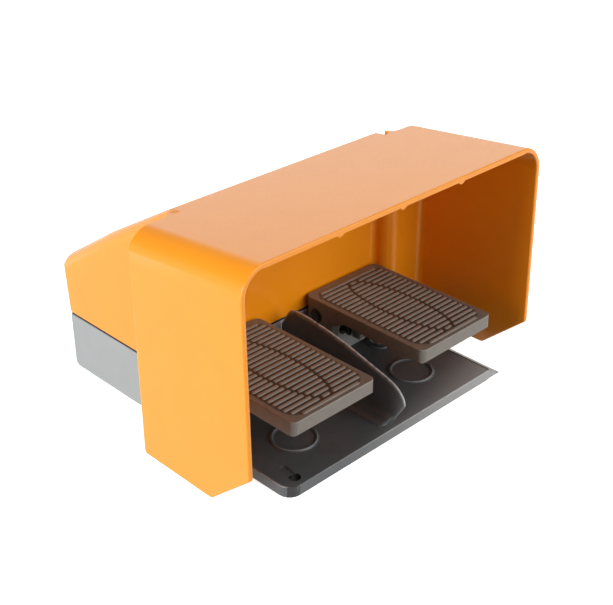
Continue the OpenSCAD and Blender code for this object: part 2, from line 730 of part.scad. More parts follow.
base_plate();
divider_fin();
base_housing();
hood_cover();
cover_gasket();
cover_screws();
plate_screws();
cable_gland();
gland_cap();
gland_seal();
gland_locknut();
blanking_plug();
earth_terminal();
bearing_block_left();
bearing_block_right();
pedal_left();
pedal_bushes_left();
pedal_buffer_left();
actuator_screw_left();
pivot_pin_left();
return_spring_left();
plunger_left();
contact_bridge_left();
plunger_bush_left();
contact_block_left();
fixed_contacts_left();
terminal_screws_left();
block_screws_left();
pedal_right();
pedal_bushes_right();
pedal_buffer_right();
actuator_screw_right();
pivot_pin_right();
return_spring_right();
plunger_right();
contact_bridge_right();
plunger_bush_right();
contact_block_right();
fixed_contacts_right();
terminal_screws_right();
block_screws_right();
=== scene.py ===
"""Guarded twin foot switch: rounded castings, mouldings, springs, finishes and studio."""
import json
import logging
import math
from dataclasses import dataclass, field
from enum import Enum
from typing import Any, Sequence

import bmesh
import bpy
import numpy as np
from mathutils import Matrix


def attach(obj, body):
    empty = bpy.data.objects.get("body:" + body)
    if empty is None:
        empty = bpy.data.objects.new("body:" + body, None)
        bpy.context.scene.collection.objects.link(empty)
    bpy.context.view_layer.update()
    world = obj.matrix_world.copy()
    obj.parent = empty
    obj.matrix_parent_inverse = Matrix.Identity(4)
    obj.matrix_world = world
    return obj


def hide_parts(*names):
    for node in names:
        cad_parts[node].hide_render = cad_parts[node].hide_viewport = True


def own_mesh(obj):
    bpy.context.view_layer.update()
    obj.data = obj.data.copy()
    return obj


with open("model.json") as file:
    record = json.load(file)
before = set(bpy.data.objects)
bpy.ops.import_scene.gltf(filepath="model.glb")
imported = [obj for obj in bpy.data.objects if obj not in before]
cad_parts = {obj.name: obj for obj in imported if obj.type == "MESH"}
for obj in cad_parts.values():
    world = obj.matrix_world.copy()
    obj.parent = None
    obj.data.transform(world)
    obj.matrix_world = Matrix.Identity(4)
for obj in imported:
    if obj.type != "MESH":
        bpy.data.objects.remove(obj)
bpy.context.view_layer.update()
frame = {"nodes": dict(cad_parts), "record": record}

MM = 0.001
FULL_TURN = 2.0 * math.pi
# How fast a rounded edge counts as exposed, for its wear and painted highlight.
WEAR_HIGHLIGHT_GAIN = 4.0
LOG = logging.getLogger("foot_switch")


class Side(Enum):
    """The two halves of the switch, with the sign of their X."""

    LEFT = -1.0
    RIGHT = 1.0

    @property
    def word(self) -> str:
        """Lower-case word used in node and body names."""
        return self.name.lower()


# ---------------------------------------------------------------- finishes

def linear(code: str) -> tuple[float, float, float, float]:
    """Turn an sRGB hex colour into linear RGBA.

    Args:
        code: Six hex digits, such as "F08A1E".

    Returns:
        Red, green, blue and alpha in linear light.
    """
    srgb = np.array([int(code[i:i + 2], 16) for i in (0, 2, 4)]) / 255.0
    light = np.where(srgb <= 0.04045, srgb / 12.92, ((srgb + 0.055) / 1.055) ** 2.4)
    return (*light.tolist(), 1.0)


def add_node(tree: bpy.types.NodeTree, kind: str, links: dict[Any, Any] | None = None,
             values: dict[Any, Any] | None = None, **settings: Any) -> bpy.types.Node:
    """Add one shader node with its settings, input values and incoming links.

    Args:
        tree: Node tree that gets the node.
        kind: Part of the node's type name after "ShaderNode".
        links: Input socket name or number to the output socket that feeds it.
        values: Input socket name or number to its default value.
        **settings: Properties of the node itself.

    Returns:
        The new node.
    """
    node = tree.nodes.new("ShaderNode" + kind)
    for key, value in settings.items():
        setattr(node, key, value)
    for key, value in (values or {}).items():
        node.inputs[key].default_value = value
    for key, output in (links or {}).items():
        tree.links.new(output, node.inputs[key])
    return node


@dataclass(frozen=True)
class Finish:
    """A surface finish: base colour, mottling, grain, gloss, worn edges with a painted highlight, a
    painted sheen and painted shade.

    Lengths are in millimetres of the real surface.
    """

    name: str
    colour: str
    mottle: str
    roughness: float
    mottle_mm: float = 14.0
    mottle_share: float = 0.35
    grain_mm: float = 0.6
    grain_depth_mm: float = 0.03
    gloss_spread: float = 0.08
    metallic: float = 0.0
    specular: float = 0.5
    coat: float = 0.0
    coat_roughness: float = 0.1
    # Pale colour of edges that are worn and carry a painted highlight, and how much of it shows.
    wear_and_highlight: str | None = None
    wear_highlight_share: float = 0.0
    # Dark colour of painted shade, laid where the attribute marks it.
    painted_shade: str | None = None
    # Pale colour of a painted sheen that stands in for light along the front, and its share.
    painted_sheen: str | None = None
    sheen_share: float = 0.0
    # Direction in which the painted sheen grows, and how far from the middle it starts and ends, m.
    sheen_way: tuple[float, float, float] = (0.25, -1.0, 0.0)
    sheen_from: float = 0.112
    sheen_to: float = 0.16
    stretch: tuple[float, float, float] = (1.0, 1.0, 1.0)

    def noise(self, tree: bpy.types.NodeTree, size_mm: float, detail: float,
              stretch: tuple[float, float, float] = (1.0, 1.0, 1.0)) -> bpy.types.NodeSocket:
        """Noise in object space whose cells are size_mm across.

        Args:
            tree: Node tree of the material.
            size_mm: Size of the cells.
            detail: Number of octaves.
            stretch: Scale along each axis, for drawn or machined surfaces.

        Returns:
            The noise's value socket.
        """
        place = add_node(tree, "TexCoord")
        turned = add_node(tree, "Mapping", {"Vector": place.outputs["Object"]}, {"Scale": stretch})
        made = add_node(tree, "TexNoise", {"Vector": turned.outputs["Vector"]},
                        {"Scale": 1000.0 / size_mm, "Detail": detail, "Roughness": 0.55})
        return made.outputs["Fac"]

    def build(self) -> bpy.types.Material:
        """Make the material.

        Returns:
            The finished material.
        """
        material = bpy.data.materials.new(self.name)
        material.use_nodes = True
        tree = material.node_tree
        shader = tree.nodes["Principled BSDF"]
        shader.inputs["Metallic"].default_value = self.metallic
        if not self.metallic:
            shader.inputs["Specular IOR Level"].default_value = self.specular
        shader.inputs["Coat Weight"].default_value = self.coat
        shader.inputs["Coat Roughness"].default_value = self.coat_roughness
        cloud = self.noise(tree, self.mottle_mm, 4.0)
        grain = self.noise(tree, self.grain_mm, 3.0, self.stretch)
        share = add_node(tree, "MapRange", {"Value": cloud},
                         {"From Min": 0.35, "From Max": 0.7, "To Max": self.mottle_share})
        blend = add_node(tree, "Mix", {0: share.outputs["Result"]},
                         {6: linear(self.colour), 7: linear(self.mottle)}, data_type="RGBA")
        tone = blend.outputs[2]
        # Painted sheen: a pale strip that grows towards the front and stands in for light there.
        if self.painted_sheen:
            place = add_node(tree, "TexCoord")
            reach = add_node(tree, "VectorMath", {0: place.outputs["Object"]}, {1: self.sheen_way},
                             operation="DOT_PRODUCT")
            strip = add_node(tree, "MapRange", {"Value": reach.outputs["Value"]},
                             {"From Min": self.sheen_from, "From Max": self.sheen_to,
                              "To Max": self.sheen_share}, interpolation_type="SMOOTHSTEP")
            pale = add_node(tree, "Mix", {0: strip.outputs["Result"], 6: tone},
                            {7: linear(self.painted_sheen)}, data_type="RGBA")
            tone = pale.outputs[2]
        # Worn edges with a painted highlight: pale where the attribute is high, broken into
        # patches.
        if self.wear_and_highlight:
            worn_and_lit = add_node(tree, "Attribute", attribute_name="rub")
            patch = self.noise(tree, self.mottle_mm * 0.35, 3.0)
            broken = add_node(tree, "MapRange", {"Value": patch},
                              {"From Min": 0.25, "From Max": 0.5, "To Max": self.wear_highlight_share})
            both = add_node(tree, "Math", {0: worn_and_lit.outputs["Fac"], 1: broken.outputs["Result"]},
                            operation="MULTIPLY")
            shine = add_node(tree, "Mix", {0: both.outputs[0], 6: tone}, {7: linear(self.wear_and_highlight)},
                             data_type="RGBA")
            tone = shine.outputs[2]
        # Painted shade: dark where the attribute is high.
        if self.painted_shade:
            sunk = add_node(tree, "Attribute", attribute_name="painted_shade")
            shade_mix = add_node(tree, "Mix", {0: sunk.outputs["Fac"], 6: tone}, {7: linear(self.painted_shade)},
                            data_type="RGBA")
            tone = shade_mix.outputs[2]
        tree.links.new(tone, shader.inputs["Base Color"])
        gloss = add_node(tree, "MapRange", {"Value": grain},
                         {"From Min": 0.3, "From Max": 0.7,
                          "To Min": self.roughness - self.gloss_spread,
                          "To Max": self.roughness + self.gloss_spread})
        tree.links.new(gloss.outputs["Result"], shader.inputs["Roughness"])
        bump = add_node(tree, "Bump", {"Height": grain},
                        {"Strength": 1.0, "Distance": self.grain_depth_mm * MM})
        tree.links.new(bump.outputs["Normal"], shader.inputs["Normal"])
        return material


class Finishes:
    """Every finish of the switch, built once, by material slot."""

    def __init__(self) -> None:
        """Build the materials."""
        self.made: dict[str, bpy.types.Material] = {}
        for slot, finish in self.catalogue().items():
            self.made[slot] = finish.build()

    @staticmethod
    def catalogue() -> dict[str, Finish]:
        """List the finish of each material slot.

        Returns:
            Slot name to finish.
        """
        return {
            # Deep orange moulding in impact-proof plastic: even colour, satin gloss and a slight
            # waviness of about 2 mm that breaks the reflections.
            "hood_orange": Finish("moulded_orange_plastic", "F0930C", "EB8B0A", 0.34,
                                  mottle_mm=26.0, grain_mm=2.2, grain_depth_mm=0.012,
                                  gloss_spread=0.05, specular=0.4, coat=0.12,
                                  coat_roughness=0.16),
            # Moulded light-grey ABS with a fine spark-eroded grain that keeps it matt.
            "housing_grey": Finish("moulded_abs_grey", "969999", "8D9090", 0.55, mottle_mm=18.0,
                                   grain_mm=0.8, grain_depth_mm=0.02),
            # Sand-cast plate under a thin satin paint: dark and granular, pale on its edges with
            # wear and a painted highlight, with a painted sheen on its front strip and painted
            # shade in its hole.
            "plate_casting": Finish("painted_casting", "4B4E50", "3A3C3E", 0.4, mottle_mm=11.0,
                                    grain_mm=1.1, grain_depth_mm=0.1, gloss_spread=0.1,
                                    wear_and_highlight="B4B3B1", wear_highlight_share=0.8, painted_shade="080808",
                                    painted_sheen="B1AFAC", sheen_share=0.66),
            # Die-cast treads with a thin warm-grey paint, pale on the ribs' crests and edges with
            # wear and a painted highlight, and dark between the ribs with painted shade.
            "pedal_casting": Finish("painted_die_casting", "6D665D", "5A524A", 0.44, mottle_mm=7.0,
                                    grain_mm=1.1, grain_depth_mm=0.1, wear_and_highlight="A9A094",
                                    wear_highlight_share=0.6, painted_shade="1F1A16"),
            # Moulded nitrile rubber: nearly black, dull, with a dusty bloom.
            "rubber_black": Finish("nitrile_rubber", "1B1B1C", "2A2A2A", 0.78, mottle_mm=5.0,
                                   grain_mm=0.5, grain_depth_mm=0.02, specular=0.35),
            # Injection-moulded black polyamide: faint satin sheen.
            "nylon_black": Finish("polyamide_black", "1F2022", "292A2C", 0.42, mottle_mm=6.0,
                                  grain_mm=0.6, grain_depth_mm=0.01),
            # Undyed polyamide of the switch bodies: creamy, slightly mottled.
            "nylon_cream": Finish("polyamide_natural", "DDD5C2", "CFC5AE", 0.45, mottle_mm=6.0,
                                  grain_mm=0.6, grain_depth_mm=0.01),
            # Zinc-plated steel: pale, faintly yellow and blue, brushed by tumbling.
            "steel_zinc": Finish("zinc_plated_steel", "B9BCBE", "A9A794", 0.32, mottle_mm=3.0,
                                 grain_mm=0.3, grain_depth_mm=0.004, metallic=1.0),
            # Ground steel pins: bright, with fine marks round the bar.
            "steel_bright": Finish("ground_steel", "C8C9CB", "BEBFC0", 0.22, mottle_mm=4.0,
                                   grain_mm=0.25, grain_depth_mm=0.003, metallic=1.0,
                                   stretch=(1.0, 0.15, 0.15)),
            # Steel of the pins' ends, made dark as painted shade, with one small bright glint.
            "steel_painted_shade": Finish("steel_dark_as_painted_shade", "4A4644", "35322F", 0.24, mottle_mm=3.0,
                                      grain_mm=0.4, grain_depth_mm=0.006, metallic=1.0),
            # Sintered bronze, made dark brown as painted shade: porous, with a dull wet gleam.
            "bronze_oiled": Finish("bronze_dark_as_painted_shade", "5B4328", "3B2C1D", 0.4, mottle_mm=2.0,
                                   grain_mm=0.3, grain_depth_mm=0.01, metallic=1.0),
            # Turned brass: warm and lightly dulled.
            "brass": Finish("turned_brass", "C9A45A", "B08E4C", 0.3, mottle_mm=4.0,
                            grain_mm=0.25, grain_depth_mm=0.003, metallic=1.0),
        }

    def dress(self, piece: bpy.types.Object, slot: str) -> None:
        """Put a slot's material on every face of a piece.

        Args:
            piece: Object to dress.
            slot: Name of the material slot.
        """
        if not piece.data.materials:
            piece.data.materials.append(self.made[slot])
        for place in piece.material_slots:
            place.material = self.made[slot]


# ---------------------------------------------------------------- mesh helpers

def grid_mesh(name: str, points: np.ndarray, wrap_u: bool, wrap_v: bool,
              caps: bool = False) -> bpy.types.Mesh:
    """Skin one or many grids of points with quads.

    Args:
        name: Name of the mesh.
        points: Array of shape (u, v, 3), or (patches, u, v, 3).
        wrap_u: Whether the last row joins the first.
        wrap_v: Whether the last column joins the first.
        caps: Whether the first and last rows are closed by one face each.

    Returns:
        The mesh, faces outward where v turns to the left round the direction of u.
    """
    if points.ndim == 3:
        points = points[None]
    patches, rows, cols = points.shape[:3]
    index = np.arange(patches * rows * cols).reshape(patches, rows, cols)
    u0 = index if wrap_u else index[:, :-1]
    u1 = np.roll(index, -1, 1) if wrap_u else index[:, 1:]
    if wrap_v:
        a, b, c, d = u0, np.roll(u0, -1, 2), np.roll(u1, -1, 2), u1
    else:
        a, b, c, d = u0[:, :, :-1], u0[:, :, 1:], u1[:, :, 1:], u1[:, :, :-1]
    faces = np.stack([a, b, c, d], -1).reshape(-1, 4).tolist()
    if caps:
        faces += index[:, 0, ::-1].tolist() + index[:, -1].tolist()
    mesh = bpy.data.meshes.new(name)
    mesh.from_pydata(points.reshape(-1, 3).tolist(), [], faces)
    mesh.shade_smooth()
    mesh.update()
    return mesh


def read(items: Any, key: str, width: int = 1, kind: type = np.float32) -> np.ndarray:
    """Read one property of every point, edge, face or corner of a mesh.

    Args:
        items: The mesh's collection of them.
        key: Name of the property.
        width: How many numbers each has.
        kind: Type of the numbers.

    Returns:
        Array with a row for each, or a flat array where width is 1.
    """
    numbers = np.empty(len(items) * width, kind)
    items.foreach_get(key, numbers)
    return numbers if width == 1 else numbers.reshape(-1, width)


def store(mesh: bpy.types.Mesh, name: str, values: np.ndarray, domain: str = "POINT") -> None:
    """Store one number for each point or face as an attribute.

    Args:
        mesh: Mesh that gets the attribute.
        name: Name of the attribute.
        values: The numbers, in the order of the points or faces.
        domain: "POINT" or "FACE".
    """
    layer = mesh.attributes.new(name, "FLOAT", domain)
    layer.data.foreach_set("value", values.reshape(-1).astype(np.float32))


def add_piece(name: str, mesh: bpy.types.Mesh, body: str, slot: str,
              finishes: Finishes) -> bpy.types.Object:
    """Make an object of a mesh, dress it and let it ride on a body.

    Args:
        name: Name of the piece.
        mesh: Its mesh, in place.
        body: Name of the body it moves with.
        slot: Material slot.
        finishes: The built finishes.

    Returns:
        The new piece.
    """
    piece = bpy.data.objects.new(name, mesh)
    bpy.context.scene.collection.objects.link(piece)
    finishes.dress(piece, slot)
    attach(piece, body)
    return piece


def mark_wear_and_highlight(mesh: bpy.types.Mesh) -> None:
    """Store how exposed each point is, as edge wear and a painted highlight, in an attribute.

    A point counts where all its faces belong to a rounded edge and its neighbours lie
    below the plane of its normal: minus the mean of normal . (neighbour - point) over
    the distance, scaled and clipped to 0..1.

    Args:
        mesh: Mesh whose faces carry the integer attribute "round".
    """
    count = len(mesh.vertices)
    place = read(mesh.vertices, "co", 3)
    normal = read(mesh.vertex_normals, "vector", 3)
    ends = read(mesh.edges, "vertices", 2, np.int32)
    step = place[ends[:, 1]] - place[ends[:, 0]]
    step /= np.maximum(np.linalg.norm(step, axis=1, keepdims=True), 1e-9)
    fall = np.zeros(count)
    near = np.zeros(count)
    for one, sign in ((0, -1.0), (1, 1.0)):
        at = ends[:, one]
        np.add.at(fall, at, sign * np.einsum("ij,ij->i", step, normal[at]))
        np.add.at(near, at, 1.0)
    marked = read(mesh.attributes["round"].data, "value", kind=np.int32)
    corner = read(mesh.loops, "vertex_index", kind=np.int32)
    total = read(mesh.polygons, "loop_total", kind=np.int32)
    flat = np.zeros(count)
    np.add.at(flat, corner, np.repeat(1 - marked, total))
    rub = np.clip(fall / np.maximum(near, 1.0) * WEAR_HIGHLIGHT_GAIN, 0.0, 1.0) * (flat == 0)
    store(mesh, "rub", rub)


@dataclass(frozen=True)
class Rounding:
    """How a casting's or moulding's edges are rounded."""

    radius_mm: float
    segments: int = 3
    # Edges turning by more than this are rounded, degrees.
    angle: float = 50.0
    # Edges still turning by more than this are shaded sharp, degrees.
    crisp: float = 40.0
    # Points nearer than this become one, mm.
    merge_mm: float = 0.002
    # Points left nearer than this by the rounding become one, mm.
    weld_mm: float = 0.002
    # Faces turning by less than this become one, degrees.
    level_angle: float = 0.4
    # Share of the radius that a face beside a rounded edge is at least wide.
    narrow_share: float = 0.3
    # Boxes (lowest, highest corner, mm) whose edges stay as they are.
    spare: tuple[tuple[tuple[float, float, float], tuple[float, float, float]], ...] = ()
    # Height above which the shape is cut away, and the height its closed top is raised to, mm.
    cut_above: float | None = None
    raised_to: float = 0.0

    def is_spared(self, edge: bmesh.types.BMEdge) -> bool:
        """Tell whether an edge is left sharp.

        Args:
            edge: Edge of the shape.

        Returns:
            True where a face beside it is too narrow for the radius, or its middle lies
            in one of the spared boxes.
        """
        narrow = min(face.calc_area() for face in edge.link_faces) / max(edge.calc_length(), 1e-9)
        if narrow < self.narrow_share * self.radius_mm * MM:
            return True
        middle = np.array((edge.verts[0].co + edge.verts[1].co) / 2.0) / MM
        return any(bool(np.all(middle > low) and np.all(middle < high)) for low, high in self.spare)

    def soften(self, node: str) -> bpy.types.Mesh:
        """Copy a CAD node's mesh and round its sharp edges.

        Args:
            node: Name of the CAD node.

        Returns:
            The new mesh, with the attribute "round" and the one for wear and painted highlight.
        """
        shape = bmesh.new()
        shape.from_mesh(frame["nodes"][node].data)
        bmesh.ops.remove_doubles(shape, verts=shape.verts, dist=self.merge_mm * MM)
        if self.cut_above is not None:
            everything = shape.verts[:] + shape.edges[:] + shape.faces[:]
            cut = bmesh.ops.bisect_plane(shape, geom=everything, clear_outer=True,
                                         plane_co=(0.0, 0.0, self.cut_above * MM),
                                         plane_no=(0.0, 0.0, 1.0))
            rim = [e for e in cut["geom_cut"] if isinstance(e, bmesh.types.BMEdge)]
            bmesh.ops.holes_fill(shape, edges=rim, sides=0)
            for vert in {v for e in rim for v in e.verts}:
                vert.co.z = self.raised_to * MM
        bmesh.ops.dissolve_limit(shape, angle_limit=math.radians(self.level_angle),
                                 verts=shape.verts, edges=shape.edges)
        layer = shape.faces.layers.int.new("round")
        sharp = [e for e in shape.edges if e.is_manifold
                 and e.calc_face_angle() > math.radians(self.angle) and not self.is_spared(e)]
        made = bmesh.ops.bevel(shape, geom=sharp, offset=self.radius_mm * MM, offset_type="OFFSET",
                               segments=self.segments, profile=0.5, affect="EDGES",
                               clamp_overlap=False, loop_slide=True, miter_outer="ARC")
        for face in made["faces"]:
            face[layer] = 1
        bmesh.ops.remove_doubles(shape, verts=shape.verts, dist=self.weld_mm * MM)
        for face in shape.faces:
            face.smooth = True
        for edge in shape.edges:
            edge.smooth = edge.is_manifold and edge.calc_face_angle() < math.radians(self.crisp)
        mesh = bpy.data.meshes.new(node + "_rounded")
        shape.to_mesh(mesh)
        shape.free()
        mark_wear_and_highlight(mesh)
        return mesh


def rounded_piece(node: str, body: str, slot: str, finishes: Finishes,
                  rounding: Rounding) -> bpy.types.Object:
    """Stand a rounded copy in for a CAD node.

    Args:
        node: Name of the CAD node.
        body: Body that it moves with.
        slot: Material slot.
        finishes: The built finishes.
        rounding: How its edges are rounded.

    Returns:
        The new piece.
    """
    piece = add_piece(node + "_body", rounding.soften(node), body, slot, finishes)
    weigh = piece.modifiers.new("even_faces", "WEIGHTED_NORMAL")
    weigh.keep_sharp = True
    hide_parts(node)
    LOG.info("%s: %d faces", piece.name, len(piece.data.polygons))
    return piece


# ---------------------------------------------------------------- sub-assemblies

@dataclass
class Shell:
    """The hood, housing, plate and bearing blocks with rounded edges, and the ridge's ends."""

    finishes: Finishes
    # The pads under the hood's front rim keep their own small edges.
    pads: tuple[float, ...] = (-62.0, -4.0, 55.0)
    pad_half: float = 5.5
    pad_front: float = -130.4
    pad_rear: float = -122.4
    pad_low: float = 174.0
    pad_high: float = 183.6
    # The bends at the step are round already, so no edge between them is rounded again.
    step_low: tuple[float, float, float] = (-150.0, -27.0, 50.0)
    step_high: tuple[float, float, float] = (150.0, -10.0, 190.0)
    hood_edge: float = 1.1
    hood_merge: float = 0.03
    housing_edge: float = 0.8
    plate_edge: float = 1.0
    block_edge: float = 0.9
    # Filling between the rear part's shoulder and the bend's top: its ends across and its
    # front, how far its top goes back at the bend, how far its foot stands behind its top at
    # the ridge, how deep the foot is sunk and how far the top stays under the crown, mm.
    filling_x: tuple[float, float] = (99.0, 108.0)
    filling_front: float = -21.6
    filling_reach: float = 5.6
    filling_slope: float = 2.6
    filling_sunk: float = 1.2
    filling_under: float = 0.05
    filling_rows: int = 19
    # Where the step stands, the crown's height there and its fall for each mm to the rear.
    step_y: float = -20.2
    step_top: float = 173.71
    crown_fall: float = 0.1086
    # Centre and radius of the rear part's shoulder, and how far short of its side it is used, mm.
    shoulder_x: float = 97.2
    shoulder_z: float = 163.7
    shoulder_r: float = 10.0
    shoulder_short: float = 0.15
    # Box round the fixing hole and its slot, heights of their walls, and how far from upright
    # a wall's normal may point, as its Z.
    fixing_low: tuple[float, float, float] = (-105.0, -130.0, 5.0)
    fixing_high: tuple[float, float, float] = (-82.0, -98.0, 10.0)
    hole_span: tuple[float, float] = (0.2, 7.7)
    upright: float = 0.3

    def close_ridge_end(self, side: Side) -> None:
        """Close the gap that the CAD hood leaves in its wall where the ridge meets the bend.

        The top lies a hair under the crown, z = top - f * (y - step). The foot is sunk under
        the shoulder, z = z0 + sqrt(r^2 - (x - x0)^2). From the ridge outwards, the rear edge
        goes back by reach * t^2, with t from 0 to 1.

        Args:
            side: Left or right end of the ridge.
        """
        x = np.linspace(*self.filling_x, self.filling_rows)
        t = (x - x[0]) / (x[-1] - x[0])
        across = np.clip(x - self.shoulder_x, 0.0, self.shoulder_r - self.shoulder_short)
        foot = self.shoulder_z + np.sqrt(self.shoulder_r ** 2 - across ** 2) - self.filling_sunk
        front = np.full_like(x, self.filling_front)
        top_rear = self.step_y + self.filling_reach * t ** 2
        foot_rear = top_rear + self.filling_slope * (1.0 - t)
        crown = self.step_top - self.filling_under
        top = crown - self.crown_fall * (top_rear - self.step_y)
        top_front = crown - self.crown_fall * (front - self.step_y)
        section = [(front, foot), (foot_rear, foot), (top_rear, top), (front, top_front)]
        points = np.stack([np.stack([side.value * x, y, z], -1) for y, z in section], 1) * MM
        if side is Side.LEFT:
            points = points[::-1]
        mesh = grid_mesh(f"hood_ridge_end_{side.word}", points, False, True, caps=True)
        mesh.shade_flat()
        add_piece(mesh.name, mesh, "base", "hood_orange", self.finishes)

    def darken_hole(self, mesh: bpy.types.Mesh) -> None:
        """Mark the walls of the fixing hole and its slot for painted shade, as a face attribute.

        Args:
            mesh: Mesh of the plate.
        """
        middle = read(mesh.polygons, "center", 3) / MM
        facing = read(mesh.polygons, "normal", 3)
        upright = np.abs(facing[:, 2]) < self.upright
        low, high = np.array(self.fixing_low), np.array(self.fixing_high)
        inside = np.all((middle[:, :2] > low[:2]) & (middle[:, :2] < high[:2]), axis=1)
        foot, head = self.hole_span
        hole = inside & upright & (middle[:, 2] > foot) & (middle[:, 2] < head)
        # Painted shade on the walls of the hole and its slot.
        store(mesh, "painted_shade", hole, "FACE")

    def build(self) -> None:
        """Make the rounded shells."""
        spare = tuple(((x - self.pad_half, self.pad_front, self.pad_low),
                       (x + self.pad_half, self.pad_rear, self.pad_high)) for x in self.pads)
        spare += ((self.step_low, self.step_high),)
        kinds = [("hood_cover", "hood_orange",
                  Rounding(self.hood_edge, spare=spare, merge_mm=self.hood_merge)),
                 ("base_housing", "housing_grey", Rounding(self.housing_edge)),
                 ("base_plate", "plate_casting",
                  Rounding(self.plate_edge, spare=((self.fixing_low, self.fixing_high),))),
                 ("bearing_block_left", "housing_grey", Rounding(self.block_edge)),
                 ("bearing_block_right", "housing_grey", Rounding(self.block_edge))]
        for node, slot, rounding in kinds:
            piece = rounded_piece(node, "base", slot, self.finishes, rounding)
            if node == "base_plate":
                self.darken_hole(piece.data)
        for side in Side:
            self.close_ridge_end(side)


@dataclass
class Fin:
    """The cast fin between the pedals: slim leaning blade, thin crest, wide hollow foot."""

    finishes: Finishes
    front_y: float = -129.4
    plate_top: float = 9.0
    # Crest from the nose's tip to the partition (depth, height), mm.
    crest: tuple[tuple[float, float], ...] = (
        (-5.5, 28.6), (-4.4, 32.4), (-2.2, 36.0), (1.2, 39.4), (6.0, 42.2), (13.3, 44.6),
        (33.7, 50.0), (50.5, 54.4), (70.0, 58.2), (92.0, 61.0), (104.0, 61.4), (109.5, 60.6),
        (112.5, 57.5), (119.6, 45.0))
    foot_from: float = 7.0
    foot_to: float = 120.2
    crest_half: float = 0.85
    draft: float = 0.9
    foot_radius: float = 9.5
    # Largest share of the fin's height that its foot takes.
    foot_share: float = 0.6
    nose_length: float = 5.0
    # Squared half width that the nose's tip keeps, as a share.
    nose_tip: float = 0.0025
    # Rows along the crest, and the power that crowds them towards the nose.
    rows: int = 90
    crowding: float = 1.35
    # How far the foot is sunk in the plate, mm.
    sunk: float = 0.1
    # Wear and painted highlight of the edge beside the crest.
    edge_wear_and_highlight: float = 0.6

    def mesh(self) -> bpy.types.Mesh:
        """Loft the fin between its foot on the plate and its crest.

        Along the fin the foot's line and the crest's line are joined by straight slanting
        lines. At the share v of the height the half width is the crest's, plus the draft
        times (1 - v), plus a hollow foot r - sqrt(r^2 - (r - h)^2) where the height h is
        less than r. The crest closes as a half circle, and the nose as a half ellipse.

        Returns:
            The closed mesh of the fin.
        """
        crest = np.array(self.crest)
        way = np.concatenate([[0.0], np.cumsum(np.linalg.norm(np.diff(crest, axis=0), axis=1))])
        steps = way[-1] * np.linspace(0.0, 1.0, self.rows) ** self.crowding
        top_y, top_z = np.interp(steps, way, crest[:, 0]), np.interp(steps, way, crest[:, 1])
        kernel = np.array([1.0, 2.0, 3.0, 2.0, 1.0]) / 9.0
        for line in (top_y, top_z):
            line[2:-2] = np.convolve(line, kernel, "valid")
        foot_y = self.foot_from + (self.foot_to - self.foot_from) * (steps / way[-1])
        rise = np.concatenate([np.linspace(0.0, 0.3, 10, endpoint=False) ** 1.3,
                               np.linspace(0.3, 1.0, 12)])[None, :]
        height = (top_z - self.plate_top)[:, None] * rise
        radius = np.minimum(self.foot_radius, self.foot_share * (top_z - self.plate_top))[:, None]
        below = np.clip(radius - height, 0.0, None)
        hollow = radius - np.sqrt(np.clip(radius ** 2 - below ** 2, 0.0, None))
        half = self.crest_half + self.draft * (1.0 - rise) + hollow
        past_nose = np.clip(steps / self.nose_length, 0.0, 1.0)
        nose = np.sqrt(np.clip(1.0 - (1.0 - past_nose) ** 2, self.nose_tip, 1.0))
        half = half * nose[:, None]
        depth = foot_y[:, None] + (top_y - foot_y)[:, None] * rise
        cap = np.linspace(0.0, math.pi, 9)[1:-1][None, :]
        tip = half[:, -1:]
        x = np.concatenate([half, tip * np.cos(cap), -half[:, ::-1]], 1)
        y = np.concatenate([depth, depth[:, -1:] + 0.0 * cap, depth[:, ::-1]], 1)
        level = self.plate_top - self.sunk + height
        z = np.concatenate([level, level[:, -1:] + tip * np.sin(cap), level[:, ::-1]], 1)
        points = np.stack([x, y + self.front_y, z], -1)
        made = grid_mesh("divider_fin_body", points * MM, False, True, caps=True)
        # The crest gets wear and a painted highlight, and the edges beside it a share of that.
        worn_and_lit = np.zeros(x.shape, np.float32)
        edge = rise.shape[1]
        worn_and_lit[:, edge:-edge] = 1.0
        worn_and_lit[:, edge - 1] = worn_and_lit[:, -edge] = self.edge_wear_and_highlight
        store(made, "rub", worn_and_lit)
        return made

    def build(self) -> None:
        """Stand the lofted fin in for the CAD fin."""
        piece = add_piece("divider_fin_body", self.mesh(), "base", "plate_casting", self.finishes)
        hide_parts("divider_fin")
        LOG.info("%s: %d faces", piece.name, len(piece.data.polygons))


